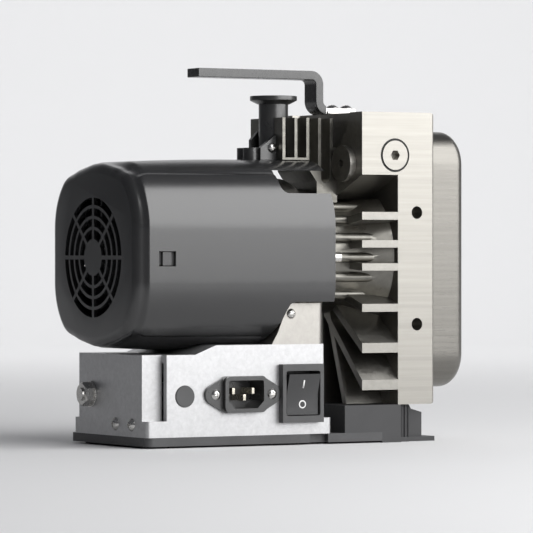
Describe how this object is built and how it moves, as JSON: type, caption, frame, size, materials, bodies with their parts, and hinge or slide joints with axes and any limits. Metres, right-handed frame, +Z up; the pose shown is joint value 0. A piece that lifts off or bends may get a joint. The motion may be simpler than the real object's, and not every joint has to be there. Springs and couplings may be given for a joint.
{
  "type": "rotary vane vacuum pump",
  "caption": "Compact rotary vane vacuum pump: cowled electric motor on a power box, finned pump housing, oil case, inlet port and lifting handle.",
  "frame": {"origin": "centre of the bounding box's footprint, on the floor", "axes": "+X along the shaft from the fan cowl to the oil case, -Y towards the mains inlet and switch, +Z up"},
  "size_m": [0.2486, 0.117, 0.236],
  "materials": {
    "base_black": "dark grey powder coat, fine texture",
    "rubber": "matt black rubber",
    "foot_plastic": "moulded dark grey plastic, satin",
    "cast_zinc": "bright mottled die-cast metal, satin",
    "black_plastic": "black moulded plastic, satin",
    "charcoal_plastic": "charcoal satin moulded plastic",
    "grey_plastic": "dark grey moulded plastic",
    "screw_steel": "bright zinc-plated steel",
    "contact_brass": "plated contact metal",
    "board": "green circuit board",
    "motor_cast": "bright blasted die-cast aluminium",
    "laminations": "stacked electrical steel",
    "copper": "varnished copper wire",
    "ground_steel": "ground steel",
    "frame_aluminium": "fine brushed warm aluminium",
    "fin_aluminium": "cast aluminium, machined fin tips",
    "vane_carbon": "carbon composite",
    "filter_fleece": "pale filter fleece",
    "clear_glass": "clear glass"
  },
  "bodies": {
    "pump": {"base_plate": "base_black", "rubber_pads": "rubber", "pump_foot": "foot_plastic", "power_box": "cast_zinc", "mains_inlet": "black_plastic", "inlet_pins": "contact_brass", "inlet_screws": "screw_steel", "switch_housing": "grey_plastic", "reset_housing": "black_plastic", "ground_bolt": "screw_steel", "ground_washer": "screw_steel", "end_screws": "screw_steel", "run_capacitor": "black_plastic", "control_board": "board", "motor_bracket": "motor_cast", "bracket_screws": "screw_steel", "motor_housing": "motor_cast", "stator_core": "laminations", "stator_windings": "copper", "rear_end_shield": "motor_cast", "shaft_bearings": "ground_steel", "fan_cowl": "charcoal_plastic", "cowl_clips": "charcoal_plastic", "cowl_pads": "rubber", "finned_housing": "fin_aluminium", "housing_fins": "fin_aluminium", "housing_bolts": "screw_steel", "shaft_seal": "rubber", "pump_cylinder": "ground_steel", "pump_end_plate": "ground_steel", "side_frame": "frame_aluminium", "front_plug": "frame_aluminium", "plug_seal": "rubber", "valve_head": "fin_aluminium", "port_flange": "black_plastic", "port_neck": "black_plastic", "port_foot": "black_plastic", "port_screw": "screw_steel", "port_strainer": "ground_steel", "port_seal": "rubber", "oil_case": "frame_aluminium", "case_gasket": "rubber", "case_screws": "screw_steel", "mist_filter": "filter_fleece", "sight_glass": "clear_glass", "drain_plug": "screw_steel", "handle_bar": "screw_steel", "handle_grip": "black_plastic", "handle_screws": "screw_steel"},
    "rotating_group": {"drive_shaft": "ground_steel", "motor_rotor": "laminations", "cooling_fan": "charcoal_plastic", "pump_rotor": "ground_steel"},
    "front_vane": {"front_vane": "vane_carbon"},
    "rear_vane": {"rear_vane": "vane_carbon"},
    "rocker": {"switch_rocker": "charcoal_plastic"},
    "reset_button": {"reset_button": "grey_plastic"},
    "ballast_knob": {"ballast_knob": "frame_aluminium"},
    "exhaust_valve": {"exhaust_valve": "ground_steel"}
  },
  "joints": [
    {"name": "shaft_spin", "type": "hinge", "parent": "pump", "child": "rotating_group", "pos_m": [-0.02825, 0, 0.117], "axis": [1, 0, 0], "continuous": true},
    {"name": "front_vane_slide", "type": "slide", "parent": "rotating_group", "child": "front_vane", "axis": [0, -1, 0], "range_m": [0, 0.0028]},
    {"name": "rear_vane_slide", "type": "slide", "parent": "rotating_group", "child": "rear_vane", "axis": [0, 1, 0], "range_m": [0, 0.0028]},
    {"name": "rocker_tilt", "type": "hinge", "parent": "pump", "child": "rocker", "pos_m": [-0.00515, -0.0504, 0.0324], "axis": [1, 0, 0], "range_deg": [-16, 0]},
    {"name": "reset_press", "type": "slide", "parent": "pump", "child": "reset_button", "axis": [0, 1, 0], "range_m": [0, 0.0015], "stiffness_N_per_m": 400, "springref_m": -0.001},
    {"name": "ballast_turn", "type": "hinge", "parent": "pump", "child": "ballast_knob", "pos_m": [0.03635, -0.0319, 0.1764], "axis": [-1, 0, 0], "range_deg": [0, 180]},
    {"name": "exhaust_lift", "type": "slide", "parent": "pump", "child": "exhaust_valve", "axis": [0, 0, 1], "range_m": [0, 0.0015], "stiffness_N_per_m": 100, "springref_m": -0.001}
  ]
}
